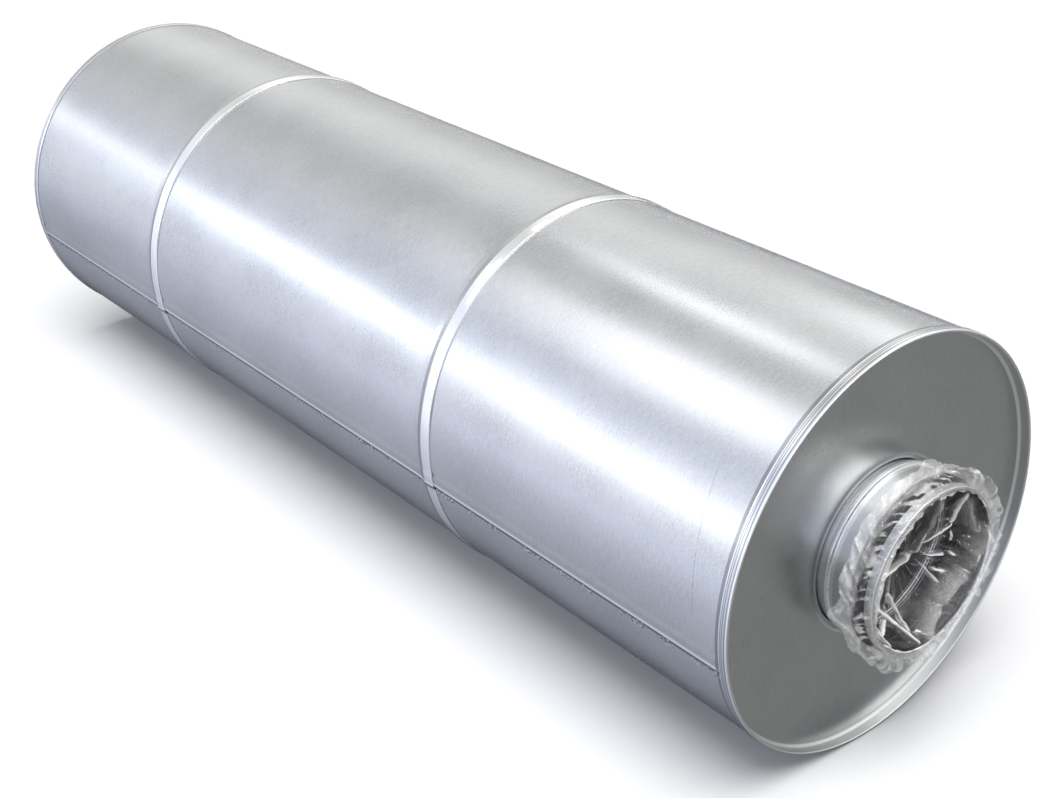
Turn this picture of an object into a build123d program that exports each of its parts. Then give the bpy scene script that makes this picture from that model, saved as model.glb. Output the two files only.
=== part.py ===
from build123d import *
import math
import os

os.makedirs("parts", exist_ok=True)

# The duct axis is X. Zero is the casing's rear rim, where a duct on the rear spigot stops.

# Driving sizes in millimetres
casing_radius = 157.5
casing_length = 1000.0
casing_sheet = 0.5
front_joint_from_rim = 318.0
rear_joint_from_rim = 742.0

# Flat lock seam between two casing sections
seam_width = 10.0
seam_ramp = 2.0
seam_hook_run = 8.0

# Lap along each casing section, in degrees below the height of the duct axis on the -Y side
lap_angle = 12.5
lap_width = 8.0
lap_run_out = 5.0
lap_end_gap = 0.3

# End plate, a drawn dish hemmed over the end of the casing
plate_sheet = 0.7
plate_recess = 9.0
plate_corner = 1.8
hem_width = 7.8
neck_bend = 3.5
neck_length = 8.0

# Spigot, the short pipe that a duct slides over
spigot_radius = 62.0
spigot_sheet = 0.6
spigot_beyond_rim = 37.0
mouth_fold = 7.0
seat_length = 17.5
seat_ramp = 3.0
seat_depth = 1.6
bead_height = 2.3
bead_width = 5.0
bead_crest = 2.4
bead_inside_rim = 0.5
spigot_inside_plate = 13.0

# Rubber lip seal on each spigot
seal_start = 2.0
seal_end = 16.8
seal_body_from = 7.4
seal_lip_length = 3.6
seal_lip_sheet = 0.7
seal_lip_pitch = 4.4
seal_lip_root = 9.4
free_lip_height = 2.2
pressed_lip_height = 0.2

# Perforated tube, fleece and mineral wool
tube_sheet = 0.6
tube_in_spigot = 16.0
hole_radius = 2.5
hole_rows = 8
holes_in_row = 8
fleece_sheet = 1.0
wool_split_radius = 110.0

# Plastic film hood over the front spigot, pushed into the mouth and loose at the hem
film_sheet = 0.25
film_sides = 48
film_slack = 1.0
film_pushed_in = 20.0
film_skirt = 24.0
film_crease = 3.0
film_bulge = 8.0
film_middle_shift = 9.0

# Clearances between neighbours
sheet_gap = 0.05
rubber_gap = 0.05
soft_gap = 0.3

# Values that follow from the sizes
rear_mouth_x = -spigot_beyond_rim
front_mouth_x = casing_length + spigot_beyond_rim
plate_inside_x = plate_recess + plate_sheet
spigot_end_x = plate_inside_x + spigot_inside_plate
front_joint_x = casing_length - front_joint_from_rim
rear_joint_x = casing_length - rear_joint_from_rim
casing_mid_radius = casing_radius - casing_sheet / 2
layer_step = casing_sheet + sheet_gap
seam_top_radius = casing_mid_radius + 3 * layer_step
wall_radius = spigot_radius - spigot_sheet / 2
seat_radius = wall_radius - seat_depth
tube_outer_radius = spigot_radius - spigot_sheet - sheet_gap
tube_inner_radius = tube_outer_radius - tube_sheet
fleece_inner_radius = tube_outer_radius + soft_gap
neck_radius = spigot_radius + sheet_gap + plate_sheet / 2
wool_inner_radius = max(fleece_inner_radius + fleece_sheet, neck_radius + plate_sheet / 2) + soft_gap
wool_outer_radius = casing_radius - casing_sheet - soft_gap
wool_x = plate_inside_x + soft_gap
fleece_x = spigot_end_x + soft_gap


def unit(a, b):
    length = math.hypot(b[0] - a[0], b[1] - a[1])
    return ((b[0] - a[0]) / length, (b[1] - a[1]) / length)


def sheet_side(path, offset):
    # One side of a bent sheet, mitred at each bend.
    side = []
    last = len(path) - 1
    for i, (x, r) in enumerate(path):
        before = unit(path[max(i - 1, 0)], path[max(i, 1)])
        after = unit(path[min(i, last - 1)], path[min(i + 1, last)])
        nx = -(before[1] + after[1])
        nr = before[0] + after[0]
        scale = offset / (1 + before[0] * after[0] + before[1] * after[1])
        side.append((x + nx * scale, r + nr * scale))
    return side


def turned(outline):
    # A closed outline of x and radius, turned about the duct axis.
    face = make_face(Polyline(*outline, close=True))
    return revolve(face, Axis.X, 360)


def bent_sheet(path, thickness):
    outer = sheet_side(path, thickness / 2)
    inner = sheet_side(path, -thickness / 2)
    return turned(outer + inner[::-1])


def ring(x_from, x_to, r_inner, r_outer):
    outline = [(x_from, r_inner), (x_to, r_inner), (x_to, r_outer), (x_from, r_outer)]
    return turned(outline)


def at_front(shape):
    # The same piece turned end for end, as it sits at the front.
    middle = Plane(origin=(casing_length / 2, 0, 0), z_dir=(1, 0, 0))
    return mirror(shape, about=middle)


def hooked_end(joint_x):
    # The section that ends under the seam turns back over itself.
    turn_x = joint_x - seam_width / 2 + 2 * casing_sheet
    low = casing_mid_radius
    high = casing_mid_radius + 2 * layer_step
    return [(turn_x + seam_hook_run, high), (turn_x, high), (turn_x, low)]


def covering_end(joint_x):
    # The next section climbs over that hook and turns down inside it.
    turn_x = joint_x + seam_width / 2 - casing_sheet / 2
    ramp_top = joint_x - seam_width / 2
    low = casing_mid_radius + layer_step
    path = [(ramp_top - seam_ramp, casing_mid_radius), (ramp_top, seam_top_radius)]
    return path + [(turn_x, seam_top_radius), (turn_x, low), (turn_x - seam_hook_run, low)]


def lap(x_from, x_to, radius):
    # The raised edge of the upper sheet, sharp below and running out above.
    edge = math.radians(lap_angle)
    flat = edge - lap_width / radius
    run_out = flat - lap_run_out / radius
    sunk = radius - casing_sheet / 2
    raised = radius + casing_sheet
    corners = [(sunk, edge), (raised, edge), (raised, flat), (radius, run_out), (sunk, run_out)]
    outline = [(-r * math.cos(a), -r * math.sin(a)) for r, a in corners]
    side = Plane(origin=(x_from, 0, 0), x_dir=(0, 1, 0), z_dir=(1, 0, 0))
    return extrude(side * make_face(Polyline(*outline, close=True)), x_to - x_from)


def front_casing_shell():
    rim = casing_length - plate_sheet - sheet_gap
    path = hooked_end(front_joint_x) + [(rim, casing_mid_radius)]
    lap_from = front_joint_x + seam_width / 2 + lap_end_gap
    lap_to = casing_length - hem_width - lap_end_gap
    return bent_sheet(path[::-1], casing_sheet) + lap(lap_from, lap_to, casing_radius)


def middle_casing_shell():
    path = hooked_end(rear_joint_x) + covering_end(front_joint_x)
    lap_from = rear_joint_x + seam_width / 2 + lap_end_gap
    lap_to = front_joint_x - seam_width / 2
    shell = bent_sheet(path[::-1], casing_sheet) + lap(lap_from, lap_to, casing_radius)
    return shell + seam_lap(front_joint_x)


def rear_casing_shell():
    rim = plate_sheet + sheet_gap
    path = [(rim, casing_mid_radius)] + covering_end(rear_joint_x)
    lap_from = hem_width + lap_end_gap
    lap_to = rear_joint_x - seam_width / 2
    shell = bent_sheet(path, casing_sheet) + lap(lap_from, lap_to, casing_radius)
    return shell + seam_lap(rear_joint_x)


def seam_lap(joint_x):
    # The lap shows through the seam as the same step on its top.
    top = seam_top_radius + casing_sheet / 2
    return lap(joint_x - seam_width / 2, joint_x + seam_width / 2, top)


def rear_end_plate():
    hem_radius = casing_radius + sheet_gap + plate_sheet / 2
    inside_radius = casing_radius - casing_sheet - sheet_gap - plate_sheet / 2
    rim = plate_sheet / 2
    flat = plate_recess + plate_sheet / 2
    hem = [(hem_width, hem_radius), (rim, hem_radius), (rim, inside_radius)]
    corner = [(flat - plate_corner, inside_radius), (flat, inside_radius - plate_corner)]
    bend = [(flat, neck_radius + neck_bend)]
    bend += [(flat + 0.3 * neck_bend, neck_radius + 0.3 * neck_bend), (flat + neck_bend, neck_radius)]
    return bent_sheet(hem + corner + bend + [(flat + neck_length, neck_radius)], plate_sheet)


def rear_spigot():
    # From the mouth fold, past the seal's seat and the stop bead, to the plain inner end.
    end_x = rear_mouth_x + spigot_sheet / 2
    seat_x = rear_mouth_x + seat_length
    crest = wall_radius + bead_height
    bead_x = bead_inside_rim
    side = (bead_width - bead_crest) / 2
    fold = [(rear_mouth_x + mouth_fold, wall_radius), (end_x, wall_radius), (end_x, seat_radius)]
    seat = [(seat_x, seat_radius), (seat_x + seat_ramp, wall_radius)]
    bead = [(bead_x, wall_radius), (bead_x + side, crest)]
    bead += [(bead_x + side + bead_crest, crest), (bead_x + bead_width, wall_radius)]
    return bent_sheet(fold + seat + bead + [(spigot_end_x, wall_radius)], spigot_sheet)


def seal(lip_height):
    # A foot held under the mouth fold, a body behind it and two lips leaning back.
    lip_radius = spigot_radius + lip_height
    under = seat_radius + spigot_sheet / 2 + rubber_gap
    foot_top = wall_radius - spigot_sheet / 2 - rubber_gap
    body_top = foot_top + 0.4
    lean = math.sqrt(seal_lip_length**2 - (lip_radius - body_top) ** 2)
    first = seal_lip_root
    second = first + seal_lip_pitch
    outline = [(seal_start, under), (seal_end, under), (seal_end, body_top)]
    for root in (second, first):
        outline.append((root + seal_lip_sheet, body_top))
        outline.append((root + lean + seal_lip_sheet, lip_radius))
        outline.append((root + lean, lip_radius))
        outline.append((root - seal_lip_sheet, body_top))
    outline += [(seal_body_from, body_top), (seal_body_from, foot_top), (seal_start, foot_top)]
    return turned([(rear_mouth_x + depth, radius) for depth, radius in outline])


def perforated_inner_tube():
    tube_from = spigot_end_x - tube_in_spigot
    tube = ring(tube_from, casing_length - tube_from, tube_inner_radius, tube_outer_radius)
    first = spigot_end_x + 4 * hole_radius
    pitch = (casing_length - 2 * first) / (hole_rows - 1)
    punches = []
    for row in range(hole_rows):
        for place in range(holes_in_row):
            turn = (place + 0.5 * (row % 2)) * 360 / holes_in_row
            punch = Plane.XY * Cylinder(hole_radius, 4 * tube_sheet)
            punch = Pos(first + row * pitch, 0, tube_outer_radius) * punch
            punches.append(Rot(turn, 0, 0) * punch)
    return tube - punches


def glass_fleece_wrap():
    outer = fleece_inner_radius + fleece_sheet
    return ring(fleece_x, casing_length - fleece_x, fleece_inner_radius, outer)


def inner_wool_layer():
    # Cut away at both ends where the plate bends in around the spigot.
    bevel = neck_bend + plate_sheet
    front_x = casing_length - wool_x
    outline = [(wool_x, wool_split_radius), (wool_x, wool_inner_radius + bevel)]
    outline += [(wool_x + bevel, wool_inner_radius), (front_x - bevel, wool_inner_radius)]
    return turned(outline + [(front_x, wool_inner_radius + bevel), (front_x, wool_split_radius)])


def outer_wool_layer():
    inner = wool_split_radius + soft_gap
    return ring(wool_x, casing_length - wool_x, inner, wool_outer_radius)


def folds(turn):
    # Soft folds around the hood, from none to full.
    return 0.5 + 0.3 * math.sin(7 * turn + 1.0) + 0.2 * math.sin(11 * turn + 2.0)


def film_ring(depth, radius, crease=0.0, bulge=0.0, shift=0.0):
    # Creases move the film along the duct; bulges stand away and hang lowest at the bottom.
    points = []
    for side in range(film_sides):
        turn = 2 * math.pi * side / film_sides
        hang = 0.3 + 0.7 * (1 - math.cos(turn)) / 2
        r = radius + bulge * folds(turn) * hang
        x = front_mouth_x - depth - crease * (folds(turn) - 0.5)
        points.append(Vector(x, r * math.sin(turn), r * math.cos(turn) - shift))
    return points


def film_side(inset):
    # Rings from the pushed-in middle, over the mouth, to the hem.
    rings = []
    edge = seat_radius - spigot_sheet / 2 - film_slack
    for share in (0.25, 0.5, 0.75, 0.92):
        depth = film_pushed_in * (1 - share) + inset
        crease = 4 * film_crease * share * (1 - share)
        rings.append(film_ring(depth, edge * share, crease, shift=film_middle_shift * (1 - share)))
    rings.append(film_ring(inset - 0.3 * film_slack, edge))
    rings.append(film_ring(inset - film_slack, seat_radius + 1))
    rings.append(film_ring(inset - 0.4 * film_slack, spigot_radius + 1.2 * film_slack - inset))
    rings.append(film_ring(mouth_fold, spigot_radius + 1.6 * film_slack - inset, bulge=0.5))
    over_lips = spigot_radius + free_lip_height + 1.2 * film_slack - inset
    for share in (0.5, 0.75, 1.0):
        depth = film_skirt * share
        crease = film_crease * share**4
        rings.append(film_ring(depth, over_lips, crease, film_bulge * share**3))
    return rings


def facet(a, b, c):
    return Face(Wire.make_polygon([a, b, c], close=True))


def film_facets(rings, middle):
    facets = []
    for side in range(film_sides):
        after = (side + 1) % film_sides
        facets.append(facet(middle, rings[0][side], rings[0][after]))
        for near, far in zip(rings, rings[1:]):
            facets.append(facet(near[side], far[side], far[after]))
            facets.append(facet(near[side], far[after], near[after]))
    return facets


def front_spigot_film():
    facets = []
    hems = []
    for inset in (0.0, film_sheet):
        rings = film_side(inset)
        middle = Vector(front_mouth_x - film_pushed_in - inset, 0, -film_middle_shift)
        facets += film_facets(rings, middle)
        hems.append(rings[-1])
    outside, inside = hems
    for side in range(film_sides):
        after = (side + 1) % film_sides
        facets.append(facet(outside[side], inside[side], inside[after]))
        facets.append(facet(outside[side], inside[after], outside[after]))
    return Solid(Shell(facets))


def save(shape, node):
    export_step(shape, "parts/" + node + ".step")


save(front_casing_shell(), "front_casing_shell")
save(middle_casing_shell(), "middle_casing_shell")
save(rear_casing_shell(), "rear_casing_shell")
save(rear_end_plate(), "rear_end_plate")
save(at_front(rear_end_plate()), "front_end_plate")
save(rear_spigot(), "rear_spigot")
save(at_front(rear_spigot()), "front_spigot")
save(seal(pressed_lip_height), "rear_spigot_seal")
save(at_front(seal(free_lip_height)), "front_spigot_seal")
save(perforated_inner_tube(), "perforated_inner_tube")
save(glass_fleece_wrap(), "glass_fleece_wrap")
save(inner_wool_layer(), "inner_wool_layer")
save(outer_wool_layer(), "outer_wool_layer")
save(front_spigot_film(), "front_spigot_film")
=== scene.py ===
import math

import bpy
import numpy as np
from mathutils import Matrix, Vector


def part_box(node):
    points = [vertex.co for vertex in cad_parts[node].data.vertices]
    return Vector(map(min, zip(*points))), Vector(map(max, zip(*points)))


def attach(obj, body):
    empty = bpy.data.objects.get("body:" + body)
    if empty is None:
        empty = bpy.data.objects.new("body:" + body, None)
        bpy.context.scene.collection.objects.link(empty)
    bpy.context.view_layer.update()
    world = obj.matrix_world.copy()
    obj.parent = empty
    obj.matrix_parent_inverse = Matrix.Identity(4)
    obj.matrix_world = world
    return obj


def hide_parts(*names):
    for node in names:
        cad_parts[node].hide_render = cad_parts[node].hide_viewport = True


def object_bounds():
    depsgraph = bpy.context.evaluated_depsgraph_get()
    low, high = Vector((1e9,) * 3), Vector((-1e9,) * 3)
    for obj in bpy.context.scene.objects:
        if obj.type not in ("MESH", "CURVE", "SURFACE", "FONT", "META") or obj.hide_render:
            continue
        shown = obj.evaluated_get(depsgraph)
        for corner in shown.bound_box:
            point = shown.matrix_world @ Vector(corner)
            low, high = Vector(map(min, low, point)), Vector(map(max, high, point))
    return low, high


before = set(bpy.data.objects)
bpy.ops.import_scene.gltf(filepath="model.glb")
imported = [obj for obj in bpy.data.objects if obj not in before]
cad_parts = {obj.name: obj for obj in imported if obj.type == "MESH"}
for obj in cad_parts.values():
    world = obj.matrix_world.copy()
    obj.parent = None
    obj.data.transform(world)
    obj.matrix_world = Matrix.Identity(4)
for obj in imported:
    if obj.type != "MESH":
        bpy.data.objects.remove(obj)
cad_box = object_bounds()


# The studio: a pale floor under the casing, a graded pale surround, a broad key light and soft
# lamps. A grey card that shows in mirrors alone stands for the dim side of the room.
class Signal:
    """One output of a shader node, ready for sums."""

    def __init__(self, graph, socket):
        self.graph = graph
        self.socket = socket

    def _maths(self, operation, first, second):
        return self.graph.node("Math", {"operation": operation}, {0: first, 1: second})

    def __add__(self, other):
        return self._maths("ADD", self, other)

    def __radd__(self, other):
        return self._maths("ADD", other, self)

    def __sub__(self, other):
        return self._maths("SUBTRACT", self, other)

    def __rsub__(self, other):
        return self._maths("SUBTRACT", other, self)

    def __mul__(self, other):
        return self._maths("MULTIPLY", self, other)

    def __rmul__(self, other):
        return self._maths("MULTIPLY", other, self)

    def __truediv__(self, other):
        return self._maths("DIVIDE", self, other)

    def __rtruediv__(self, other):
        return self._maths("DIVIDE", other, self)

    def __pow__(self, other):
        return self._maths("POWER", self, other)

    def __rpow__(self, other):
        return self._maths("POWER", other, self)

    def output(self, name):
        return Signal(self.graph, self.socket.node.outputs[name])


class Graph:
    """The node tree of a material or of the world."""

    def __init__(self, owner):
        owner.use_nodes = True
        self.owner = owner
        self.tree = owner.node_tree
        self.tree.nodes.clear()

    def node(self, kind, settings=None, sockets=None):
        """A new node: its settings first, then the values or links of its sockets."""
        node = self.tree.nodes.new("ShaderNode" + kind)
        for name, value in (settings or {}).items():
            if name == "stops":
                self._stops(node.color_ramp, value)
            else:
                setattr(node, name, value)
        for name, value in (sockets or {}).items():
            if isinstance(value, Signal):
                self.tree.links.new(value.socket, node.inputs[name])
            else:
                node.inputs[name].default_value = value
        return Signal(self, node.outputs[0]) if node.outputs else None

    @staticmethod
    def _stops(ramp, stops):
        while len(ramp.elements) < len(stops):
            ramp.elements.new(1.0)
        for element, (place, value) in zip(ramp.elements, stops):
            element.position = place
            element.color = (value, value, value, 1.0)

    def blend(self, factor, first, second):
        """A colour that goes from first to second as the factor goes from 0 to 1."""
        mix = self.node("Mix", {"data_type": "RGBA"}, {0: factor, 6: first, 7: second})
        return mix.output(2)

    def band(self, value, start, end):
        """0 at start and 1 at end, with soft ends."""
        ranges = {"From Min": start, "From Max": end, "To Min": 0.0, "To Max": 1.0}
        return self.node("MapRange", {"interpolation_type": "SMOOTHSTEP"}, {0: value, **ranges})

    def noise(self, scale, detail, place=None, roughness=0.5):
        """Cloudy noise about 0.5, by the given place or else by the piece's own box."""
        sockets = {"Scale": scale, "Detail": detail, "Roughness": roughness}
        if place:
            sockets["Vector"] = place
        return self.node("TexNoise", None, sockets)

    def bump(self, height, strength, distance):
        """A relief that follows height, its distance in metres."""
        return self.node("Bump", None, {"Strength": strength, "Distance": distance, "Height": height})

    def finished(self, surface):
        """The material or world itself, once it shows the given shader."""
        output = "OutputWorld" if isinstance(self.owner, bpy.types.World) else "OutputMaterial"
        self.node(output, None, {"Surface": surface})
        return self.owner


def rgb(red, green, blue):
    return (red, green, blue, 1.0)


def material(name):
    return Graph(bpy.data.materials.new(name))


scene = bpy.context.scene
MM = 0.001
black = rgb(0, 0, 0)
plain_white = rgb(1, 1, 1)

# The camera stands where the photograph was taken from.
camera_place = Vector((1567.19, -791.37, 607.80)) * MM
camera_view = Vector((-0.68152, 0.56656, -0.46318))
camera = bpy.data.objects.new("camera", bpy.data.cameras.new("camera"))
camera.data.lens = 55.68
camera.data.sensor_width = 36.0
camera.data.clip_start = 0.01
camera.data.clip_end = 100.0
camera.location = camera_place
camera.rotation_mode = "QUATERNION"
camera.rotation_quaternion = camera_view.to_track_quat("-Z", "Y")
scene.collection.objects.link(camera)
scene.camera = camera
scene.view_settings.view_transform = "Standard"


def level_sheet(name, x_from, x_to, y_from, y_to, z):
    """A level rectangle that belongs to the studio."""
    corners = [(x_from, y_from, z), (x_to, y_from, z), (x_to, y_to, z), (x_from, y_to, z)]
    mesh = bpy.data.meshes.new(name)
    mesh.from_pydata(corners, [], [(0, 1, 2, 3)])
    sheet = bpy.data.objects.new(name, mesh)
    scene.collection.objects.link(sheet)
    return sheet


floor_level = cad_box[0].z
floor_half = 30.0
floor_colour = rgb(0.905, 0.905, 0.91)
floor_glow = 0.05
floor = level_sheet("floor", -floor_half, floor_half, -floor_half, floor_half, floor_level)
paint = material("pale_floor")
rays = paint.node("LightPath")
seen = rays.output("Is Camera Ray")
for kind in ("Is Glossy Ray", "Is Transmission Ray"):
    seen = paint.node("Math", {"operation": "MAXIMUM"}, {0: seen, 1: rays.output(kind)})
lit = paint.node("BsdfDiffuse", None, {"Color": floor_colour})
glow_colour = paint.blend(seen * floor_glow, black, plain_white)
glow = paint.node("Emission", None, {"Color": glow_colour, "Strength": 1.0})
floor.data.materials.append(paint.finished(paint.node("AddShader", None, {0: lit, 1: glow})))

# The card is dark close to the casing and white far from it. It is dimmer beyond the casing and
# behind its rear end, and one even grey in front of its front end. Only mirrored rays see it.
card_lift = 0.0004
card_reach = 3.1
card_back = -3.4
card_front = 2.4
card_steps = [
    (0.0, 0.027), (0.030, 0.063), (0.038, 0.18), (0.044, 0.286), (0.06, 0.384), (0.084, 0.51),
    (0.124, 0.62), (0.2, 0.92), (0.34, 1.0), (1.0, 1.0),
]
front_grey = 0.295
dimmed_beyond = 0.8
dimmed_behind = 0.14
card = level_sheet("floor_card", card_back, card_front, -card_reach, card_reach, floor_level + card_lift)
tone = material("grey_card")
spot = tone.node("SeparateXYZ", None, {0: tone.node("TexCoord").output("Object")})
from_axis = tone.node("Math", {"operation": "ABSOLUTE"}, {0: spot.output("Y")})
beside_casing = tone.node("ValToRGB", {"stops": card_steps}, {0: from_axis / card_reach})
in_front = tone.band(spot.output("X"), 0.98, 1.03)
beyond = tone.band(spot.output("Y"), 0.1, 0.3)
behind = tone.band(0.0 - spot.output("X"), 0.0, 0.35)
level = beside_casing * (1.0 - in_front) * (1.0 - dimmed_beyond * beyond) * (1.0 - dimmed_behind * behind)
level = level + front_grey * in_front
cool = tone.blend(in_front, rgb(1.03, 1.09, 1.28), rgb(1.11, 1.13, 1.12))
greyed = tone.blend(level, black, cool)
card.data.materials.append(tone.finished(tone.node("Emission", None, {"Color": greyed, "Strength": 1.0})))
for kind in ("camera", "diffuse", "shadow", "transmission", "volume_scatter"):
    setattr(card, "visible_" + kind, False)

# The surround is dimmer straight overhead and along the horizon on the far side, and cooler on the
# lap's side. Matt surfaces get a third of it. The camera itself sees it as plain white.
surround_steps = [
    (0.0, 0.45), (0.22, 0.30), (0.27, 0.31), (0.305, 0.42), (0.335, 0.53), (0.37, 0.57), (0.42, 0.47),
    (0.455, 0.34), (0.50, 0.37), (0.57, 0.46), (0.63, 0.45), (0.68, 0.56), (0.76, 0.52), (1.0, 0.52),
]
lost_on_matt = 0.68
surround = Graph(bpy.data.worlds.new("surround"))
aim = surround.node("SeparateXYZ", None, {0: surround.node("TexCoord").output("Generated")})
beside = aim.output("Y")
roll = surround.node("Math", {"operation": "ARCTAN2"}, {0: 0.0 - beside, 1: aim.output("Z")})
tint = surround.blend(surround.band(beside, -0.7, 0.1), rgb(1.76, 1.88, 2.2), rgb(2.0, 2.0, 1.98))
strength = surround.node("ValToRGB", {"stops": surround_steps}, {0: roll / (2 * math.pi) + 0.5})
ray = surround.node("LightPath")
mirrored = surround.blend(strength * (1.0 - lost_on_matt * ray.output("Is Diffuse Ray")), black, tint)
shown = surround.blend(ray.output("Is Camera Ray"), mirrored, plain_white)
background = surround.node("Background", None, {"Color": shown, "Strength": 1.0})
scene.world = surround.finished(background)

# The key light is broad and high on the lap's side; metal doesn't mirror it as a disc.
key_direction = Vector((-0.22, 0.22, -0.95))
key = bpy.data.objects.new("key", bpy.data.lights.new("key", "SUN"))
key.data.energy = 2.75
key.data.angle = math.radians(44)
key.rotation_mode = "QUATERNION"
key.rotation_quaternion = key_direction.to_track_quat("-Z", "Y")
key.visible_glossy = False
scene.collection.objects.link(key)


def softbox(name, centre, aim, long_way, size, radiance, colour=(1, 1, 1)):
    """A flat rectangular lamp facing aim, its length along long_way; radiance 1 looks white."""
    light = bpy.data.lights.new(name, "AREA")
    light.shape = "RECTANGLE"
    light.size, light.size_y = size
    light.energy = radiance * math.pi * size[0] * size[1]
    light.color = colour
    lamp = bpy.data.objects.new(name, light)
    scene.collection.objects.link(lamp)
    back = (Vector(centre) - Vector(aim)).normalized()
    side = (Vector(long_way) - back * Vector(long_way).dot(back)).normalized()
    lamp.matrix_world = Matrix((side, back.cross(side), back)).transposed().to_4x4()
    lamp.location = Vector(centre)
    lamp.visible_diffuse = False
    return lamp


# Two strips end to end make the long highlight on the lap's side, and a dim warm one lies beside it
# near the front. The lamps overhead make those on top; two in front light the end plate and spigot.
strip_aim = (0.3, 0.0, 0.0)
strip_radiance = 1.55
cool_light = (0.9, 0.95, 1.0)
warm_light = (1.0, 0.95, 0.86)
for name, start, end, width in (
    ("near_strip", (0.45, -1.14, 0.17), (-0.85, -1.14, 0.46), 0.23),
    ("far_strip", (-0.85, -1.14, 0.50), (-2.3, -1.14, 0.80), 0.17),
):
    start, end = Vector(start), Vector(end)
    run = end - start
    softbox(name, (start + end) / 2, strip_aim, run, (run.length, width), strip_radiance, cool_light)
softbox("overhead", (-0.01, -0.62, 1.2), (0.5, 0.0, 0.0), (0.0, 1.0, 0.0), (0.6, 0.5), 1.5)
softbox("front_high", (1.75, 0.2, 1.3), (1.0, 0.0, 0.1), (0.0, 1.0, 0.0), (1.5, 0.5), 2.6)
softbox("front_left", (2.05, -0.55, 0.95), (1.0, 0.0, 0.0), (0.5, 1.0, 0.0), (1.0, 0.5), 1.3)
softbox("overhead_tube", (0.05, 0.29, 1.2), (0.5, 0.0, 0.0), (1.0, 0.0, 0.0), (0.42, 0.12), 3.1)
softbox("overhead_far", (0.12, 1.42, 1.2), (1.0, 0.0, 0.1), (1.0, 0.0, 0.0), (0.6, 0.7), 0.75)
softbox(
    "front_strip", (0.25, -1.15, 0.28), (0.9, 0.0, 0.0), (1.0, 0.0, -0.2), (0.7, 0.5), 0.42, warm_light)


# The casing: three sections of 0.5 mm galvanised sheet, each rolled and lapped along its length.
# Neighbours are locked together by a flat seam: one edge is hooked back, the next covers the hook
# and turns down inside it. Sizes of the object's pieces are in millimetres, those of lamps in metres.
rear_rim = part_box("rear_end_plate")[0].x / MM
front_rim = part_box("front_end_plate")[1].x / MM
plate_sheet = 0.7
sheet_gap = 0.05
hem_outer_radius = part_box("front_end_plate")[1].y / MM
hem_width = 7.8
fold_room = 0.3

casing_radius = hem_outer_radius - plate_sheet - sheet_gap
casing_sheet = 0.5
casing_middle = casing_radius - casing_sheet / 2
casing_columns = 288
layer_step = casing_sheet + sheet_gap
bend_radius = 0.5
row_spacing = 14.0

seam_width = 10.0
seam_ramp = 5.0
seam_ramp_foot = 6.0
seam_foot_rise = 0.3
seam_tilt = 0.4
seam_cover_run = 8.0
seam_hook_run = 2.5
hook_drop = 0.03
seam_top = casing_middle + 3 * layer_step
front_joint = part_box("middle_casing_shell")[1].x / MM - seam_width / 2
rear_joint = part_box("rear_casing_shell")[1].x / MM - seam_width / 2

# The lap is 12.5 degrees below the axis. Its widths are turned into angles at the casing's radius.
lap_edge = math.radians(90 + 12.5)
lap_width = 8.0 / casing_radius
lap_run_out = 5.0 / casing_radius
lap_step_turn = 0.15 / casing_radius
lap_flare = 1.6 / casing_radius
lap_flare_height = 0.3
lap_end_gap = 0.3
lap_end_step = 0.1


def rounded(path, radius, support=0.4):
    """The path of (x, radius) with an arc at each corner and a point to hold each flat."""
    arc_step = 15
    points = [Vector(path[0])]
    for before, corner, after in zip(path, path[1:], path[2:]):
        corner = Vector(corner)
        back = Vector(before) - corner
        ahead = Vector(after) - corner
        half = back.angle(ahead) / 2
        reach = min(radius / math.tan(half), 0.45 * back.length, 0.45 * ahead.length)
        bend = reach * math.tan(half)
        back_way, ahead_way = back.normalized(), ahead.normalized()
        centre = corner + (back_way + ahead_way).normalized() * (bend / math.sin(half))
        spoke = corner + back_way * reach - centre
        sweep = math.pi - 2 * half
        side = math.copysign(1, back_way.y * ahead_way.x - back_way.x * ahead_way.y)
        count = max(2, math.ceil(math.degrees(sweep) / arc_step))
        if back.length - reach > 3 * support:
            points.append(corner + back_way * (reach + support))
        for i in range(count + 1):
            turn = side * sweep * i / count
            cos, sin = math.cos(turn), math.sin(turn)
            points.append(centre + Vector((spoke.x * cos - spoke.y * sin, spoke.x * sin + spoke.y * cos)))
        if ahead.length - reach > 3 * support:
            points.append(corner + ahead_way * (reach + support))
    points.append(Vector(path[-1]))
    return points


def divided(points, longest):
    """The same path with no stretch longer than the given length."""
    finer = [points[0]]
    for start, end in zip(points, points[1:]):
        count = max(1, math.ceil((end - start).length / longest))
        finer += [start.lerp(end, i / count) for i in range(1, count + 1)]
    return finer


def bent_sheet(path, thickness):
    """The closed outline of a sheet whose middle follows the path."""
    sides = ([], [])
    for i, point in enumerate(path):
        before = (point - path[i - 1]).normalized() if i else None
        after = (path[i + 1] - point).normalized() if i + 1 < len(path) else None
        before, after = before or after, after or before
        square = Vector((-before.y - after.y, before.x + after.x)) / (1 + before.dot(after))
        sides[0].append(point + square * thickness / 2)
        sides[1].append(point - square * thickness / 2)
    return sides[0] + sides[1][::-1]


def steps_around(count, *edges):
    """Turns from straight up, towards -Y, with one more at each given edge."""
    turns = list(np.linspace(0, 2 * math.pi, count, endpoint=False))
    return np.array(sorted(turns + list(edges)))


def quads_between(rows, columns, closed):
    """Faces between rows of points that run round the axis; closed joins the last row to the first."""
    row, column = np.meshgrid(np.arange(rows if closed else rows - 1), np.arange(columns), indexing="ij")
    below, after = (row + 1) % rows, (column + 1) % columns
    corners = ((row, column), (below, column), (below, after), (row, after))
    return np.stack([r * columns + c for r, c in corners], axis=-1).reshape(-1, 4).tolist()


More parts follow.
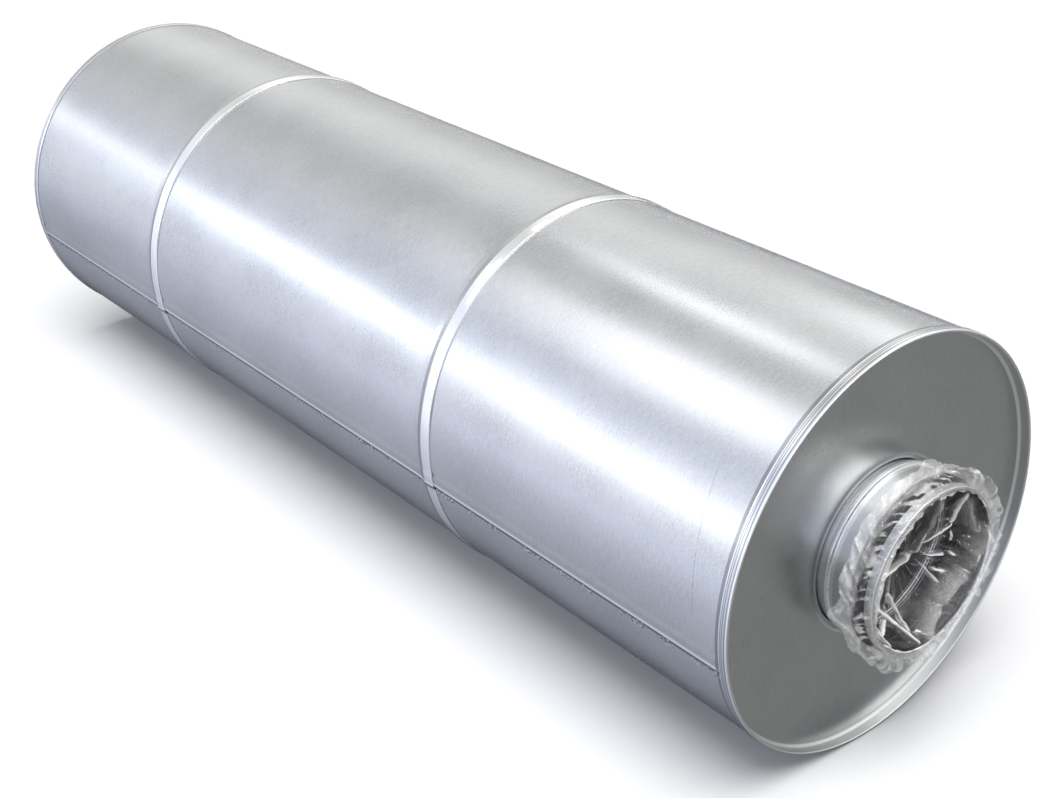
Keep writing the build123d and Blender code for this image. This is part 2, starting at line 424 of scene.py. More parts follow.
def around_axis(x, radius, turn):
    """Points by their place along, out from and around the duct axis, in metres."""
    places = np.stack([x, -radius * np.sin(turn), radius * np.cos(turn)], axis=-1)
    return (places.reshape(-1, 3) * MM).tolist()


def smooth_piece(name, points, faces, sharpest=None):
    """A smooth mesh, with hard edges where it turns by more than sharpest degrees."""
    mesh = bpy.data.meshes.new(name)
    mesh.from_pydata(points, [], faces)
    mesh.shade_smooth()
    if sharpest:
        mesh.set_sharp_from_angle(angle=math.radians(sharpest))
    return bpy.data.objects.new(name, mesh)


def turned(name, outline, turns, swell=None):
    """A closed outline turned about the duct axis. swell gives a radius to add by place."""
    outline = np.array([tuple(point) for point in outline])
    area = np.sum(outline[:, 0] * np.roll(outline[:, 1], -1) - np.roll(outline[:, 0], -1) * outline[:, 1])
    if area < 0:
        outline = outline[::-1]
    x, turn = np.meshgrid(outline[:, 0], turns, indexing="ij")
    radius = np.repeat(outline[:, 1:], len(turns), axis=1)
    if swell:
        radius = radius + swell(x, turn, radius)
    return smooth_piece(name, around_axis(x, radius, turn), quads_between(*x.shape, closed=True), sharpest=35)


def fitted(piece, finish, node):
    """The piece stands for its CAD node, rides with the object and takes its finish."""
    scene.collection.objects.link(piece)
    piece.data.materials.append(finish)
    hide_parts(node)
    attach(piece, "root")
    return piece


def galvanised(name, light, dark, dullness, streak_depth, worked=None, flat=False):
    """Zinc-coated sheet: fine rolling streaks, a faint mottle and soft clouds.

    The streaks run around the duct, or up a flat plate. worked changes colour and dullness where
    the sheet was bent or cut, with painted highlights and painted shade.
    """
    steel = material(name)
    place = steel.node("SeparateXYZ", None, {0: steel.node("TexCoord").output("Object")})
    x, y, z = (place.output(axis) for axis in "XYZ")
    radius = (y * y + z * z) ** 0.5
    turn = steel.node("Math", {"operation": "ARCTAN2"}, {0: y, 1: z})
    across, along = (y, z) if flat else (x, turn * (casing_radius * MM))
    streak_stretch = 0.12
    unrolled = steel.node("CombineXYZ", None, {0: across, 1: along, 2: 0.0})
    stretched = steel.node("CombineXYZ", None, {0: across, 1: along * streak_stretch, 2: 0.0})
    streaks = steel.noise(900.0, 2.0, stretched)
    mottle = steel.noise(460.0, 2.0, unrolled)
    clouds = steel.noise(14.0, 3.0, unrolled)
    colour = steel.blend(steel.band(streaks * 0.5 + mottle * 0.3 + clouds * 0.4, 0.35, 0.85), dark, light)
    dull = dullness + (clouds - 0.5) * 0.1 + (streaks - 0.5) * 0.04 + (mottle - 0.5) * 0.06
    if worked:
        colour, dull = worked(steel, x, turn, radius, colour, dull)
    return steel.finished(steel.node("BsdfPrincipled", None, {
        "Base Color": colour,
        "Metallic": 1.0,
        "Roughness": dull,
        "Normal": steel.bump(streaks * 0.6 + mottle * 0.8, streak_depth, 0.0002),
    }))


def hooked_end(joint):
    """The edge that is folded back at a joint, from its tip to the casing's wall."""
    fold = joint - seam_width / 2 + 2 * casing_sheet
    high = casing_middle + 2 * layer_step - hook_drop
    return [(fold + seam_hook_run, high), (fold, high), (fold, casing_middle)]


def covering_end(joint):
    """The edge that rises over the hook, slopes down a little and turns in inside it."""
    top = joint - seam_width / 2
    fold = joint + seam_width / 2 - casing_sheet / 2
    low = casing_middle + layer_step
    ramp_start = top - seam_ramp
    path = [(ramp_start - seam_ramp_foot, casing_middle), (ramp_start, casing_middle + seam_foot_rise)]
    path += [(top, seam_top), (top + seam_width / 2, seam_top - seam_tilt / 4)]
    return path + [(fold, seam_top - seam_tilt), (fold, low), (fold - seam_cover_run, low)]


def lapped(x_from, x_to, joint):
    """The raised lap of one section, sharp below and running out above.

    Past the joint the edge that is turned in under the cover stays down.
    """
    turned_in_radius = casing_middle + 1.6 * layer_step
    flare_curve = 1.5

    def swell(x, turn, radius):
        past = lap_edge - turn
        rise = np.clip(past / lap_step_turn, 0, 1)
        fall = np.clip((past - lap_width) / lap_run_out, 0, 1)
        on = np.where(past >= 0, rise - fall * (past > lap_width), 0)
        flare = rise * np.clip(1 - (past - lap_step_turn) / lap_flare, 0, 1) ** flare_curve
        turned_in = (x > joint - seam_width / 2) & (radius < turned_in_radius)
        inside = (x > x_from) & (x < x_to) & ~turned_in
        return (casing_sheet * np.clip(on, 0, 1) + lap_flare_height * flare) * inside
    return swell


# More turns stand where the lap steps up, along its flare and where it runs out.
casing_turns = steps_around(
    casing_columns,
    *(lap_edge + before for before in (1e-3, 2e-4, 0.0)),
    *(lap_edge - lap_step_turn - lap_flare * share for share in (0.0, 0.2, 0.4, 0.6, 0.8, 1.0)),
    lap_edge - lap_width,
    lap_edge - lap_width - lap_run_out,
)


def strip_mask(steel, value, start, end, soft):
    """1 between start and end, in millimetres, with soft edges."""
    on = steel.band(value, (start - soft) * MM, start * MM)
    return on * (1.0 - steel.band(value, end * MM, (end + soft) * MM))


def seams_and_lap(steel, x, turn, radius, colour, dull):
    """The seam crests get a painted highlight and their rear flanks painted shade; the lap's cut edge
    gets a painted highlight over a painted shadow in the gap below it.

    A painted shadow lies along the front hem, a thin scratch runs behind it, and the sheet below the
    lap is nicked in places. These marks are painted in the order of the last list.
    """
    highlight_white = rgb(0.97, 0.975, 0.985)
    for joint in (rear_joint, front_joint):
        top = joint - seam_width / 2
        crest = strip_mask(steel, x, top + 0.6, joint + seam_width / 2 + 0.1, 0.2)
        flank = strip_mask(steel, x, top - seam_ramp, top + 0.3, 0.6)
        # The rear flank is darkened as painted shade, and the crest is brightened as a painted highlight.
        colour = steel.blend(flank * 0.6, colour, rgb(0.42, 0.425, 0.44))
        colour = steel.blend(crest * 0.95, colour, highlight_white)
        dull = dull - crest * 0.1
    to_front = 0.0 - turn
    below = to_front * (casing_radius * MM) - lap_edge * casing_radius * MM
    # A painted highlight along the lap's cut edge, and a painted shadow in the gap below it.
    edge = strip_mask(steel, below, -2.4, -0.1, 0.4)
    gap = strip_mask(steel, below, 0.1, 3.3, 0.5)

    drawn_out = steel.node("CombineXYZ", None, {0: x * 0.7, 1: below + x * 0.4, 2: 0.0})
    nicks = steel.noise(520.0, 2.0, drawn_out)
    runs = steel.noise(38.0, 1.0, steel.node("CombineXYZ", None, {0: x}))
    burr = strip_mask(steel, below, 2.6, 7.0, 0.8) * steel.band(runs, 0.42, 0.58)

    # A painted shadow on the casing beside the front hem.
    hem_edge = front_rim - hem_width
    hem_shadow = strip_mask(steel, x, hem_edge - 3.0, hem_edge + 0.2, 0.8)
    scratch_place = 936.5
    scratch_width = 0.4
    scratch_lean = 0.0203
    leaning = x + turn * scratch_lean
    scratch = strip_mask(steel, leaning, scratch_place, scratch_place + scratch_width, 0.3)
    scratched = steel.band(to_front, 0.92, 0.97) * (1.0 - steel.band(to_front, 1.5, 1.6))
    for mark, shade in (
        (edge * 0.85, highlight_white),
        (gap * 0.8, rgb(0.10, 0.105, 0.12)),
        (hem_shadow * 0.75, rgb(0.22, 0.225, 0.24)),
        (scratch * scratched * steel.band(nicks, 0.38, 0.5) * 0.45, rgb(0.22, 0.225, 0.23)),
        (burr * steel.band(nicks, 0.53, 0.6), rgb(0.2, 0.205, 0.22)),
        # The nicks are dark in places and take the highlight white in others.
        (burr * (1.0 - steel.band(nicks, 0.38, 0.44)), highlight_white),
    ):
        colour = steel.blend(mark, colour, shade)
    return colour, dull


casing_steel = galvanised(
    "casing_steel", light=rgb(0.66, 0.665, 0.675), dark=rgb(0.53, 0.535, 0.55),
    dullness=0.28, streak_depth=0.15, worked=seams_and_lap)


def stepped(points, places):
    """The same path with two points close together wherever the lap begins or ends."""
    least_run = 1.0
    steps = [place + side * lap_end_step for place in places for side in (-1, 1)]
    finer = [points[0]]
    for start, end in zip(points, points[1:]):
        run = end.x - start.x
        shares = sorted((step - start.x) / run for step in steps) if abs(run) > least_run else []
        finer += [start.lerp(end, share) for share in shares if 0 < share < 1] + [end]
    return finer


def casing_section(end, path, lap_from, lap_to, joint):
    rows = stepped(divided(rounded(path, bend_radius), row_spacing), (lap_from, lap_to))
    outline = bent_sheet(rows, casing_sheet)
    section = turned(end + "_section", outline, casing_turns, lapped(lap_from, lap_to, joint))
    fitted(section, casing_steel, end + "_casing_shell")


front_path = hooked_end(front_joint) + [(front_rim - plate_sheet - fold_room, casing_middle)]
middle_path = hooked_end(rear_joint) + covering_end(front_joint)
rear_path = [(rear_rim + plate_sheet + fold_room, casing_middle)] + covering_end(rear_joint)
front_lap = (front_joint + seam_width / 2 + lap_end_gap, front_rim - hem_width - lap_end_gap)
middle_lap = (rear_joint + seam_width / 2 + lap_end_gap, front_joint + seam_width)
rear_lap = (rear_rim + hem_width + lap_end_gap, rear_joint + seam_width)
casing_section("front", front_path, *front_lap, math.inf)
casing_section("middle", middle_path, *middle_lap, front_joint)
casing_section("rear", rear_path, *rear_lap, rear_joint)


# The end plates: one drawn dish of 0.7 mm galvanised sheet at each end. Its edge is folded over
# the casing's rim as a hem, and its middle is drawn inward as a neck that grips the spigot.
plate_recess = 9.0
plate_corner = 1.8
plate_bend_radius = 0.9
hem_crown = 0.35
hem_crown_run = 1.6
hem_rim_run = 2.6
neck_bend = 3.5
neck_length = 8.0
spigot_sheet = 0.6
bead_height = 2.3
spigot_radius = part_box("rear_spigot")[1].y / MM - bead_height
neck_radius = spigot_radius + sheet_gap + plate_sheet / 2


def folded_rim(steel, x, turn, radius, colour, dull):
    """The hem outside is as pale as the casing, with painted highlights at its edges and thin dark lines."""
    pale = rgb(0.66, 0.665, 0.68)
    highlight_white = rgb(0.95, 0.955, 0.965)
    thin_dark = rgb(0.3, 0.305, 0.32)
    # How far each line lies from the rim, how wide it is, and its shade.
    # The bright lines are painted highlights on the hem's rounded edges.
    hem_lines = (
        (0.3, 1.2, highlight_white), (2.2, 0.5, thin_dark), (4.4, 0.5, thin_dark),
        (hem_width - 1.8, 0.4, thin_dark), (hem_width - 1.1, 1.0, highlight_white),
    )
    outside = steel.band(radius, (casing_radius - 0.6) * MM, (casing_radius - 0.3) * MM)
    for rim, inward in ((rear_rim, 1), (front_rim, -1)):
        depth = (x - rim * MM) * inward
        colour = steel.blend(strip_mask(steel, depth, -0.5, hem_width, 0.1) * outside, colour, pale)
        for place, width, shade in hem_lines:
            line = strip_mask(steel, depth, place, place + width, 0.2)
            colour = steel.blend(line * outside, colour, shade)
    # The neck is painted pale as a painted reflection.
    neck = strip_mask(steel, radius, neck_radius - 1, neck_radius + neck_bend + 1.5, 1.0)
    colour = steel.blend(neck, colour, pale)
    # The rim's inside wall is painted lighter as a painted highlight.
    wall = strip_mask(steel, radius, casing_radius - 3, casing_radius - 0.6, 0.5)
    return steel.blend(wall, colour, rgb(0.76, 0.765, 0.77)), dull


plate_steel = galvanised(
    "plate_steel", light=rgb(0.53, 0.54, 0.535), dark=rgb(0.44, 0.45, 0.45),
    dullness=0.3, streak_depth=0.06, worked=folded_rim, flat=True)


def swapped(path):
    """The same path at the other end of the casing."""
    return [(rear_rim + front_rim - x, radius) for x, radius in path]


def end_plate_path():
    """The rear plate's sheet from the hem's cut edge, round the rim and over the dish to the neck."""
    hem_radius = hem_outer_radius - plate_sheet / 2
    crown_radius = hem_radius + hem_crown
    inside_radius = casing_radius - casing_sheet - sheet_gap - plate_sheet / 2
    rim = rear_rim + plate_sheet / 2
    flat = rear_rim + plate_recess + plate_sheet / 2
    hem = [(rear_rim + hem_width, hem_radius), (rear_rim + hem_width - hem_crown_run, crown_radius)]
    hem += [(rear_rim + hem_rim_run, crown_radius), (rim, hem_radius), (rim, inside_radius)]
    corner = [(flat - plate_corner, inside_radius), (flat, inside_radius - plate_corner)]
    bend = [(flat, neck_radius + neck_bend)]
    bend += [(flat + 0.3 * neck_bend, neck_radius + 0.3 * neck_bend), (flat + neck_bend, neck_radius)]
    return hem + corner + bend + [(flat + neck_length, neck_radius)]


def end_plate(end, path):
    outline = bent_sheet(divided(rounded(path, plate_bend_radius), row_spacing), plate_sheet)
    plate = turned(end + "_plate", outline, steps_around(casing_columns))
    fitted(plate, plate_steel, end + "_end_plate")


end_plate("rear", end_plate_path())
end_plate("front", swapped(end_plate_path()))


# The spigots: pipes of 0.6 mm galvanised sheet. The mouth is folded back on itself, a seat is
# rolled for the seal, and a rolled bead stops the duct that is pushed over.
spigot_beyond_rim = 37.0
mouth_fold = 7.0
seat_length = 17.5
seat_ramp = 3.0
seat_depth = 1.6
bead_width = 5.0
bead_crest = 2.4
bead_inside_rim = 0.5
spigot_inside_plate = 13.0
spigot_bend_radius = 1.0
spigot_columns = 192
spigot_end = plate_recess + plate_sheet + spigot_inside_plate
mouth = rear_rim - spigot_beyond_rim
spigot_middle = spigot_radius - spigot_sheet / 2
seat_middle = spigot_middle - seat_depth


def drawn_pipe(steel, x, turn, radius, colour, dull):
    """The pipe has a painted highlight at the foot of its bead and painted shade inside."""
    # A painted highlight on the pipe at the foot of each bead, over the shade of its groove.
    for bead, inward in ((rear_rim, -1), (front_rim, 1)):
        foot = strip_mask(steel, (x - bead * MM) * inward, -0.5, 2.5, 0.8)
        colour = steel.blend(foot, colour, rgb(0.95, 0.955, 0.965))
    # The inside of the pipe is darkened as painted shade.
    inside = 1.0 - steel.band(radius, (spigot_radius - 0.45) * MM, (spigot_radius - 0.25) * MM)
    return steel.blend(inside * 0.8, colour, rgb(0.2, 0.205, 0.21)), dull


spigot_steel = galvanised(
    "spigot_steel", light=rgb(0.76, 0.765, 0.78), dark=rgb(0.64, 0.645, 0.66),
    dullness=0.26, streak_depth=0.12, worked=drawn_pipe)


def spigot_path():
    """The rear pipe's sheet from the folded edge, round the mouth and over seat and bead inward."""
    side = (bead_width - bead_crest) / 2
    crest = spigot_middle + bead_height
    bead = rear_rim + bead_inside_rim
    end = mouth + spigot_sheet / 2
    path = [(mouth + mouth_fold, spigot_middle), (end, spigot_middle), (end, seat_middle)]
    path += [(mouth + seat_length, seat_middle), (mouth + seat_length + seat_ramp, spigot_middle)]
    path += [(bead, spigot_middle), (bead + side, crest), (bead + side + bead_crest, crest)]
    return path + [(bead + bead_width, spigot_middle), (rear_rim + spigot_end, spigot_middle)]


def spigot(end, path):
    outline = bent_sheet(rounded(path, spigot_bend_radius, support=0.3), spigot_sheet)
    pipe = turned(end + "_pipe", outline, steps_around(spigot_columns))
    fitted(pipe, spigot_steel, end + "_spigot")


spigot("rear", spigot_path())
spigot("front", swapped(spigot_path()))


# The lip seals: black rubber profiles, a foot under the mouth fold and two lips leaning back.
# The front lips stand free, the rear ones are drawn pressed down as inside a duct.
rubber_gap = 0.05
lip_length = 3.6
lip_sheet = 0.7
lip_roots = (9.4, 13.8)
free_lip = 2.2
pressed_lip = 0.2
seal_start = 2.0
seal_end = 16.8
seal_body = 7.4
body_rise = 0.4
seal_corner = 0.2

rubber = material("seal_rubber")
dust = rubber.noise(260.0, 5.0)
dusty = rubber.band(dust, 0.45, 0.75)
black_rubber = rubber.finished(rubber.node("BsdfPrincipled", None, {
    "Base Color": rubber.blend(dusty, rgb(0.014, 0.014, 0.016), rgb(0.045, 0.045, 0.046)),
    "Specular IOR Level": 0.25,
    "Roughness": 0.42 + dust * 0.2,
    "Normal": rubber.bump(dust, 0.2, 0.0002),
}))


def seal_outline(lip_height):
    """The rear seal's profile: a foot under the mouth fold, a body, and two lips leaning back."""
    lip_radius = spigot_radius + lip_height
    under = seat_middle + spigot_sheet / 2 + rubber_gap
    foot_top = spigot_middle - spigot_sheet / 2 - rubber_gap
    body_top = foot_top + body_rise
    lean = math.sqrt(lip_length**2 - (lip_radius - body_top) ** 2)
    outline = [(seal_start, under), (seal_end, under), (seal_end, body_top)]
    for root in lip_roots[::-1]:
        outline += [(root + lip_sheet, body_top), (root + lean + lip_sheet, lip_radius)]
        outline += [(root + lean, lip_radius), (root - lip_sheet, body_top)]
    outline += [(seal_body, body_top), (seal_body, foot_top), (seal_start, foot_top)]
    return [(mouth + depth, radius) for depth, radius in outline]


def seal(end, outline):
    profile = rounded(outline + outline[:1], seal_corner, support=0.1)[:-1]
    ring = turned(end + "_seal", profile, steps_around(spigot_columns))
    fitted(ring, black_rubber, end + "_spigot_seal")


seal("rear", seal_outline(pressed_lip))
seal("front", swapped(seal_outline(free_lip)))


# The airway: a tube of 0.6 mm perforated sheet with its ends in the spigots. The air meets
# the wool through rows of round holes, set half a pitch over in every other row.
tube_sheet = 0.6
tube_in_spigot = 16.0
tube_outer = spigot_radius - spigot_sheet - sheet_gap
tube_inner = tube_outer - tube_sheet
tube_from = rear_rim + spigot_end - tube_in_spigot
tube_to = front_rim - spigot_end + tube_in_spigot
hole_radius = 2.5
holes_around = 40
plain_edge = 18.0
rounder_rows = 10


def perforated_tube(name):
    """Hexagonal cells with a hole in each, rolled up, with a plain strip at each end.

    Holes have twelve sides in the rows nearest each end, and six further in.
    """
    pitch = 2 * math.pi * tube_inner / holes_around
    reach = pitch / math.sqrt(3)
    row_pitch = 1.5 * reach
    rows = int((tube_to - tube_from - 2 * plain_edge) / row_pitch)
    start = (tube_from + tube_to - (rows - 1) * row_pitch) / 2
    around = 8 * holes_around
    flat, faces, rims, at = [], [], [], {}

    def point(x, along):
        """One place on the unrolled sheet, along counted in eighths of a pitch."""
        key = (round(x, 2), round(along * 100) % (around * 100))
        if key not in at:
            at[key] = len(flat)
            flat.append((x, along * pitch / 8))
        return at[key]

    for row in range(rows):
        x = start + row * row_pitch
        rounder = min(row, rows - 1 - row) < rounder_rows
        for place in range(holes_around):
            along = 8 * place + 4 * (row % 2)
            outer, hole = [], []
            for i in range(12):
                turn = math.radians(30 * i)
                cos, sin = math.cos(turn), math.sin(turn)
                at_corner = i % 2 == 0
                share = 1.0 if at_corner else math.cos(math.radians(30))
                if at_corner or rounder:
                    outer.append(point(x + reach * share * cos, along + 8 * reach / pitch * share * sin))
                    hole.append(len(flat))
                    flat.append((x + hole_radius * cos, along * pitch / 8 + hole_radius * sin))
            faces += zip(outer, hole, hole[1:] + hole[:1], outer[1:] + outer[:1])
            rims.append(hole)
    for end, side, first in ((tube_from, -1, 0), (tube_to, 1, 4 * ((rows - 1) % 2))):
        x = start if side < 0 else start + (rows - 1) * row_pitch
        strip = []
        for step in range(2 * holes_around):
            along = first + 4 * step
            jag = x + side * reach * (1.0 if step % 2 == 0 else 0.5)
            strip.append((point(jag, along), point(end, along)))
        for (near, far), (near_next, far_next) in zip(strip, strip[1:] + strip[:1]):
            if side < 0:
                faces.append((near, far, far_next, near_next))
            else:
                faces.append((near, near_next, far_next, far))
        rims.append([far for near, far in strip][::side])
    x, along = np.array(flat).T
    turn = along / tube_inner
    points = around_axis(x, tube_outer, turn) + around_axis(x, tube_inner, turn)
    count = len(flat)
    inside = [tuple(i + count for i in face[::-1]) for face in faces]
    walls = [(i, i + count, j + count, j) for rim in rims for i, j in zip(rim, rim[1:] + rim[:1])]
    return smooth_piece(name, points, faces + inside + walls, sharpest=50)


tube_steel = galvanised(
    "tube_steel", light=rgb(0.46, 0.47, 0.48), dark=rgb(0.36, 0.37, 0.38), dullness=0.32, streak_depth=0.1)
fitted(perforated_tube("airway_tube"), tube_steel, "perforated_inner_tube")


# The fleece: a sheet of black glass fleece wrapped once round the perforated tube, so that the
# air can't carry fibres away. It is about 1 mm thick and lies close on the tube.
soft_columns = 144
fleece_thickness = 1.0
fleece_corner = 0.25
fleece_low, fleece_high = (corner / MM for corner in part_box("glass_fleece_wrap"))
fleece_outer = fleece_high.y
fleece_inner = fleece_outer - fleece_thickness


def soft_ring(name, corners, corner_radius, support, swell=None):
    """A ring of soft material with rounded corners, turned about the duct axis."""
    outline = rounded(corners + corners[:1], corner_radius, support)[:-1]
    return turned(name, divided(outline, row_spacing), steps_around(soft_columns), swell)


glass = material("glass_fleece")
nap = glass.noise(600.0, 6.0, roughness=0.7)
raised = glass.band(nap, 0.4, 0.75)
black_fleece = glass.finished(glass.node("BsdfPrincipled", None, {
    "Base Color": glass.blend(raised, rgb(0.012, 0.012, 0.013), rgb(0.06, 0.06, 0.058)),
    "Roughness": 0.95,
    "Normal": glass.bump(nap, 0.5, 0.0003),
}))
fleece = soft_ring("fleece", [
    (fleece_low.x, fleece_inner), (fleece_high.x, fleece_inner),
    (fleece_high.x, fleece_outer), (fleece_low.x, fleece_outer),
], fleece_corner, 0.1)
fitted(fleece, black_fleece, "glass_fleece_wrap")


# The packing: two layers of yellow mineral wool mat that fill the casing around the tube.
# They are held by nothing but the casing and its plates, and are a little uneven.
wool = material("mineral_wool")
fibre_pull = (60.0, 420.0, 420.0)
wool_place = wool.node("TexCoord").output("Object")
fibre_place = wool.node("VectorMath", {"operation": "MULTIPLY"}, {0: wool_place, 1: fibre_pull})
fibres = wool.noise(1.0, 8.0, fibre_place, roughness=0.75)
fibre_tops = wool.band(fibres, 0.3, 0.7)
yellow_wool = wool.finished(wool.node("BsdfPrincipled", None, {
    "Base Color": wool.blend(fibre_tops, rgb(0.36, 0.27, 0.09), rgb(0.72, 0.6, 0.3)),
    "Roughness": 0.95,
    "Normal": wool.bump(fibres, 0.9, 0.001),
}))
wool_hollow = 0.4
wool_corner = 1.5


def tufted(x, turn, radius):
    """Mineral wool is a little hollow here and there, never past its room."""
    return -wool_hollow * (1 + np.sin(x / 17 + 3 * np.sin(5 * turn)) * np.sin(9 * turn + x / 29)) / 2


def wool_layer(name, corners, node):
    ring = soft_ring(name, corners, wool_corner, 1.0, tufted)
    fitted(ring, yellow_wool, node)


outer_low, outer_high = (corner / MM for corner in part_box("outer_wool_layer"))
inner_low, inner_high = (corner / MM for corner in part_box("inner_wool_layer"))
soft_gap = 0.3
split = inner_high.y
outer_layer_bore = split + soft_gap + wool_hollow
wool_inner = max(fleece_outer, neck_radius + plate_sheet / 2) + soft_gap
inner_layer_bore = wool_inner + wool_hollow
bevel = neck_bend + plate_sheet
bevel_radius = wool_inner + bevel + wool_hollow
wool_layer("outer_wool", [
    (outer_low.x, outer_layer_bore), (outer_high.x, outer_layer_bore),
    (outer_high.x, outer_high.y), (outer_low.x, outer_high.y),
], "outer_wool_layer")
wool_layer("inner_wool", [
    (inner_low.x, split), (inner_low.x, bevel_radius), (inner_low.x + bevel, inner_layer_bore),
    (inner_high.x - bevel, inner_layer_bore), (inner_high.x, bevel_radius), (inner_high.x, split),
], "inner_wool_layer")


# The film hood: one round sheet of thin clear packing film, pushed over the front spigot and by
# hand into its mouth. It is tight over the lip and crumpled elsewhere, hangs a little below and
# is held only by its own grip.
mouth_front = front_rim + spigot_beyond_rim
mouth_inside = seat_middle - spigot_sheet / 2
film_columns = 420
film_row = 1.0
film_bend_radius = 1.5
film_lift = 0.8
over_lips = spigot_radius + free_lip + 0.8
# The sheet from the middle of the mouth, where it is pushed in, over the lip to its free hem:
# how far each point stands before the mouth, and its radius.
film_profile = [
    (-25.0, 0.6), (-23.0, 16.0), (-17.0, 38.0), (-9.0, 53.0), (-3.0, mouth_inside - 1.2),
    (film_lift, mouth_inside - 0.5), (film_lift, spigot_radius + 0.7),
    (-3.0, over_lips), (-15.0, over_lips + 0.6), (-24.0, over_lips + 0.6),
]
# Folds across the mouth as (y, z) at both ends, height, half width and whiteness.
mouth_folds = [
    ((-36.0, 40.0), (-57.0, -14.0), 8.0, 6.5, 0.75),
    ((-50.0, 8.0), (5.0, 1.0), 7.0, 1.2, 1.0),
    # The next three short rows are white dashes that stand for painted highlights.
    ((19.0, -4.5), (35.0, -8.5), 3.0, 0.7, 1.0),
    ((25.0, -17.0), (35.0, -21.5), 3.0, 0.7, 0.9),
    ((39.0, -8.0), (42.0, -11.0), 2.0, 0.9, 0.9),
    ((13.0, -8.0), (31.0, -31.0), 3.5, 0.8, 0.45),
    ((-22.0, -14.0), (-4.0, -55.0), 4.0, 1.0, 0.4),
    ((60.0, 15.0), (46.0, -23.0), 9.0, 6.0, 0.26),
    ((48.0, -20.0), (22.0, -42.0), 9.0, 6.0, 0.42),
    ((26.0, -39.0), (3.0, -58.0), 8.0, 5.5, 0.42),
    ((16.0, 46.0), (15.4, 13.0), 5.0, 2.8, 0.2),
    ((15.5, 16.0), (8.0, 0.0), 4.0, 2.0, 0.2),
    ((34.0, 46.0), (33.0, 17.0), 5.0, 0.9, 0.4),
    ((33.0, 18.0), (14.0, 6.0), 4.0, 0.8, 0.3),
    ((36.0, 40.0), (53.0, 4.0), 7.0, 4.0, 0.2),
    ((-56.0, -4.0), (-16.0, -42.0), 8.0, 2.4, 0.75),
    ((-18.0, -40.0), (-2.0, -58.0), 7.0, 2.0, 0.6),
    ((-58.0, -16.0), (-33.0, -48.0), 5.0, 1.0, 0.5),
    ((-30.0, -22.0), (-40.0, -38.0), 5.0, 1.0, 0.5),
]


def sharp_cells(places, seed):
    """Bowls with sharp ridges between them: the squared distance to the nearest scattered point.

    Each cell's point is worked out from the cell's own number and the seed, so it never changes.
    """
    cell = np.floor(places).astype(np.int64)
    nearest = np.full(places.shape[:-1], 9.0)
    for corner in np.ndindex(3, 3, 3):
        near = cell + np.array(corner) - 1
        mixed = near @ np.array([73856093, 19349663, 83492791]) + seed * 2654435
        scatter = [np.sin(mixed * k) * 43758.5453 % 1.0 for k in (0.6137, 1.2898, 0.7823)]
        gap = near + np.stack(scatter, axis=-1) - places
        nearest = np.minimum(nearest, np.sum(gap**2, axis=-1))
    return nearest


def across_mouth(y, z):
    """How far the folds stand towards the open end, and how white they are."""
    height, white = np.zeros_like(y), np.zeros_like(y)
    for start, end, tall, half_width, whiteness in mouth_folds:
        start, end = np.array(start), np.array(end)
        run = end - start
        share = ((y - start[0]) * run[0] + (z - start[1]) * run[1]) / (run @ run)
        off = np.hypot(y - start[0] - share * run[0], z - start[1] - share * run[1])
        taper = np.clip(1.25 - np.abs(2 * share - 1) ** 3, 0, 1)
        fold = taper * np.exp(-(off / half_width) ** 2)
        height = np.maximum(height, tall * fold)
        white = np.maximum(white, whiteness * fold)
    return height, white


def point_values(mesh, name, values):
    """One number for each point of the mesh, for its finish to read."""
    mesh.attributes.new(name, "FLOAT", "POINT").data.foreach_set("value", values.astype(np.float32))


